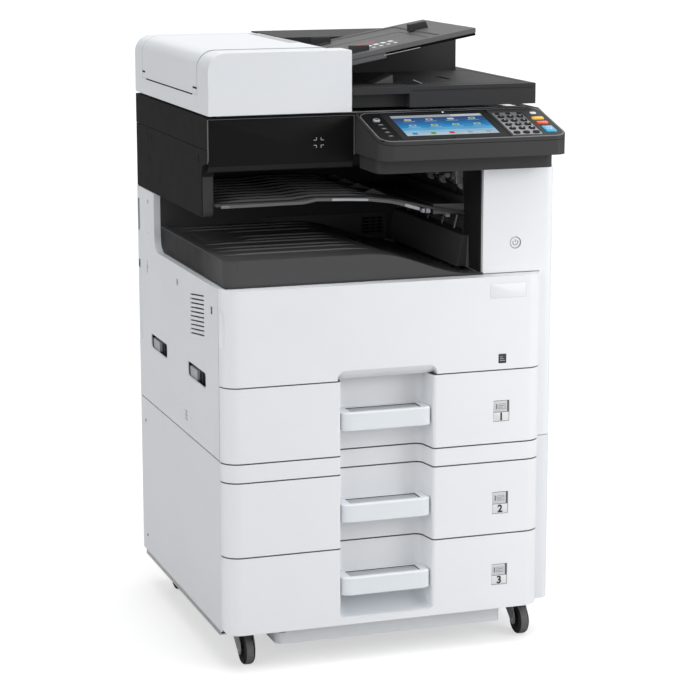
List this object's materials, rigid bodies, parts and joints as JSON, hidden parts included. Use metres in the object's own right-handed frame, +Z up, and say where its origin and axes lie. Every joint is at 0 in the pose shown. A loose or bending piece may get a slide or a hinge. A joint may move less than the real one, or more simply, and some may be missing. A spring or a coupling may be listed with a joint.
{
  "type": "photocopier",
  "caption": "Free-standing office photocopier with document feeder, touch panel, output trays, paper drawers and a castor-mounted feeder cabinet.",
  "frame": {"origin": "centre of the bounding box's underside, on the floor", "axes": "+Z up, the front with the operation panel faces -Y, +X to the right as seen from the front"},
  "size_m": [0.594, 0.613, 1.0546],
  "materials": {
    "white_cover": "fine matt moulding, cool white",
    "grey_cover": "satin light grey",
    "black_cover": "satin charcoal with a fine texture",
    "black_gloss": "polished near-black",
    "steel": "zinc-plated sheet",
    "glass": "clear, flat",
    "tyre": "dark tread",
    "rubber": "matt grey",
    "green_key": "cyan, glossy",
    "orange_key": "orange, glossy",
    "yellow_key": "amber, glossy",
    "silver_key": "silver-grey, satin"
  },
  "bodies": {
    "main": {"feeder_frame": "steel", "feeder_left_cover": "white_cover", "feeder_rear_cover": "white_cover", "feeder_front_strip": "white_cover", "feeder_plinth": "white_cover", "main_frame": "steel", "main_left_cover": "white_cover", "main_rear_cover": "white_cover", "right_column": "white_cover", "output_tray": "black_cover", "cavity_wall": "black_cover", "separator_tray": "black_cover", "eject_housing": "black_cover", "toner_container": "grey_cover", "drum_unit": "black_cover", "power_inlet": "black_cover", "scanner_housing": "black_cover", "scanner_left_cover": "black_cover", "platen_glass": "glass", "panel_housing": "black_cover", "display_glass": "black_gloss"},
    "feeder_door": {"feeder_right_cover": "white_cover"},
    "right_door": {"right_cover": "white_cover"},
    "bypass": {"bypass_tray": "white_cover"},
    "front_door": {"front_cover": "white_cover"},
    "drawer_1": {"drawer_1_front": "white_cover", "drawer_1_handle": "white_cover", "drawer_1_tray": "grey_cover"},
    "lift_plate_1": {"paper_plate_1": "steel"},
    "drawer_2": {"drawer_2_front": "white_cover", "drawer_2_handle": "white_cover", "drawer_2_tray": "grey_cover"},
    "lift_plate_2": {"paper_plate_2": "steel"},
    "drawer_3": {"drawer_3_front": "white_cover", "drawer_3_handle": "white_cover", "drawer_3_tray": "grey_cover"},
    "lift_plate_3": {"paper_plate_3": "steel"},
    "castor_fl": {"castor_fork_fl": "steel"},
    "wheel_fl": {"castor_wheel_fl": "tyre"},
    "castor_fr": {"castor_fork_fr": "steel"},
    "wheel_fr": {"castor_wheel_fr": "tyre"},
    "castor_rl": {"castor_fork_rl": "steel"},
    "wheel_rl": {"castor_wheel_rl": "tyre"},
    "castor_rr": {"castor_fork_rr": "steel"},
    "wheel_rr": {"castor_wheel_rr": "tyre"},
    "power_switch": {"power_button": "white_cover"},
    "home_switch": {"home_key": "silver_key"},
    "start_switch": {"start_key": "green_key"},
    "stop_switch": {"stop_key": "orange_key"},
    "reset_switch": {"reset_key": "yellow_key"},
    "number_pad": {"number_keys": "silver_key"},
    "eject_shaft": {"eject_rollers": "rubber"},
    "fuser_shaft": {"fuser_roller": "rubber"},
    "carriage": {"scan_carriage": "black_cover"},
    "adf": {"adf_box": "white_cover", "adf_base": "black_cover"},
    "adf_lid": {"adf_top_cover": "white_cover"},
    "doc_tray": {"document_tray": "black_cover"},
    "guide_front": {"document_guide_front": "black_cover"},
    "guide_rear": {"document_guide_rear": "black_cover"}
  },
  "joints": [
    {"name": "feeder_door_hinge", "type": "hinge", "parent": "main", "child": "feeder_door", "pos_m": [0.288, 0.293, 0.068], "axis": [0, 0, 1], "range_deg": [0, 85]},
    {"name": "right_door_hinge", "type": "hinge", "parent": "main", "child": "right_door", "pos_m": [0.288, 0.293, 0.362], "axis": [0, 0, 1], "range_deg": [0, 85]},
    {"name": "bypass_tray_hinge", "type": "hinge", "parent": "right_door", "child": "bypass", "pos_m": [0.292, 0.066, 0.406], "axis": [0, 1, 0], "range_deg": [0, 65]},
    {"name": "front_cover_hinge", "type": "hinge", "parent": "main", "child": "front_door", "pos_m": [-0.0145, -0.2575, 0.4912], "axis": [1, 0, 0], "range_deg": [0, 88]},
    {"name": "drawer_1_slide", "type": "slide", "parent": "main", "child": "drawer_1", "axis": [0, -1, 0], "range_m": [0, 0.34]},
    {"name": "paper_plate_1_hinge", "type": "hinge", "parent": "drawer_1", "child": "lift_plate_1", "pos_m": [-0.091, -0.04575, 0.373], "axis": [0, -1, 0], "range_deg": [0, 12]},
    {"name": "drawer_2_slide", "type": "slide", "parent": "main", "child": "drawer_2", "axis": [0, -1, 0], "range_m": [0, 0.34]},
    {"name": "paper_plate_2_hinge", "type": "hinge", "parent": "drawer_2", "child": "lift_plate_2", "pos_m": [-0.091, -0.04575, 0.2135], "axis": [0, -1, 0], "range_deg": [0, 12]},
    {"name": "drawer_3_slide", "type": "slide", "parent": "main", "child": "drawer_3", "axis": [0, -1, 0], "range_m": [0, 0.34]},
    {"name": "paper_plate_3_hinge", "type": "hinge", "parent": "drawer_3", "child": "lift_plate_3", "pos_m": [-0.091, -0.04575, 0.079], "axis": [0, -1, 0], "range_deg": [0, 12]},
    {"name": "castor_swivel_fl", "type": "hinge", "parent": "main", "child": "castor_fl", "pos_m": [-0.247, -0.182, 0.0557], "axis": [0, 0, 1], "continuous": true},
    {"name": "castor_roll_fl", "type": "hinge", "parent": "castor_fl", "child": "wheel_fl", "pos_m": [-0.247, -0.204, 0.025], "axis": [1, 0, 0], "continuous": true},
    {"name": "castor_swivel_fr", "type": "hinge", "parent": "main", "child": "castor_fr", "pos_m": [0.253, -0.182, 0.0557], "axis": [0, 0, 1], "continuous": true},
    {"name": "castor_roll_fr", "type": "hinge", "parent": "castor_fr", "child": "wheel_fr", "pos_m": [0.253, -0.204, 0.025], "axis": [1, 0, 0], "continuous": true},
    {"name": "castor_swivel_rl", "type": "hinge", "parent": "main", "child": "castor_rl", "pos_m": [-0.247, 0.261, 0.0557], "axis": [0, 0, 1], "continuous": true},
    {"name": "castor_roll_rl", "type": "hinge", "parent": "castor_rl", "child": "wheel_rl", "pos_m": [-0.247, 0.239, 0.025], "axis": [1, 0, 0], "continuous": true},
    {"name": "castor_swivel_rr", "type": "hinge", "parent": "main", "child": "castor_rr", "pos_m": [0.253, 0.261, 0.0557], "axis": [0, 0, 1], "continuous": true},
    {"name": "castor_roll_rr", "type": "hinge", "parent": "castor_rr", "child": "wheel_rr", "pos_m": [0.253, 0.239, 0.025], "axis": [1, 0, 0], "continuous": true},
    {"name": "power_button_press", "type": "slide", "parent": "main", "child": "power_switch", "axis": [0, 1, 0], "range_m": [0, 0.0015], "stiffness_N_per_m": 800, "springref_m": -0.001},
    {"name": "home_key_press", "type": "slide", "parent": "main", "child": "home_switch", "axis": [0, 0.2607, -0.9654], "range_m": [0, 0.001], "stiffness_N_per_m": 600, "springref_m": -0.0005},
    {"name": "start_key_press", "type": "slide", "parent": "main", "child": "start_switch", "axis": [0, 0.2607, -0.9654], "range_m": [0, 0.001], "stiffness_N_per_m": 600, "springref_m": -0.0005},
    {"name": "stop_key_press", "type": "slide", "parent": "main", "child": "stop_switch", "axis": [0, 0.2607, -0.9654], "range_m": [0, 0.001], "stiffness_N_per_m": 600, "springref_m": -0.0005},
    {"name": "reset_key_press", "type": "slide", "parent": "main", "child": "reset_switch", "axis": [0, 0.2607, -0.9654], "range_m": [0, 0.001], "stiffness_N_per_m": 600, "springref_m": -0.0005},
    {"name": "number_keys_press", "type": "slide", "parent": "main", "child": "number_pad", "axis": [0, 0.2607, -0.9654], "range_m": [0, 0.0008], "stiffness_N_per_m": 600, "springref_m": -0.0005},
    {"name": "eject_roller_spin", "type": "hinge", "parent": "main", "child": "eject_shaft", "pos_m": [0.1735, 0.021, 0.785], "axis": [0, 1, 0], "continuous": true},
    {"name": "fuser_roller_spin", "type": "hinge", "parent": "main", "child": "fuser_shaft", "pos_m": [0.228, 0.071, 0.7], "axis": [0, 1, 0], "continuous": true},
    {"name": "scan_carriage_travel", "type": "slide", "parent": "main", "child": "carriage", "axis": [1, 0, 0], "range_m": [0, 0.44]},
    {"name": "document_feeder_hinge", "type": "hinge", "parent": "main", "child": "adf", "pos_m": [0, 0.305, 0.9235], "axis": [-1, 0, 0], "range_deg": [0, 60]},
    {"name": "feeder_lid_hinge", "type": "hinge", "parent": "adf", "child": "adf_lid", "pos_m": [-0.289, 0.0665, 0.9645], "axis": [0, -1, 0], "range_deg": [0, 80]},
    {"name": "document_tray_hinge", "type": "hinge", "parent": "adf", "child": "doc_tray", "pos_m": [-0.0455, -0.018, 1.00779], "axis": [0, -1, 0], "range_deg": [0, 30]},
    {"name": "guide_front_slide", "type": "slide", "parent": "doc_tray", "child": "guide_front", "axis": [0, 1, 0], "range_m": [0, 0.075]},
    {"name": "guide_rear_slide", "type": "slide", "parent": "doc_tray", "child": "guide_rear", "axis": [0, 1, 0], "range_m": [-0.075, 0]}
  ],
  "couplings": [
    {"joint": "guide_rear_slide", "follows": "guide_front_slide", "ratio": -1}
  ]
}
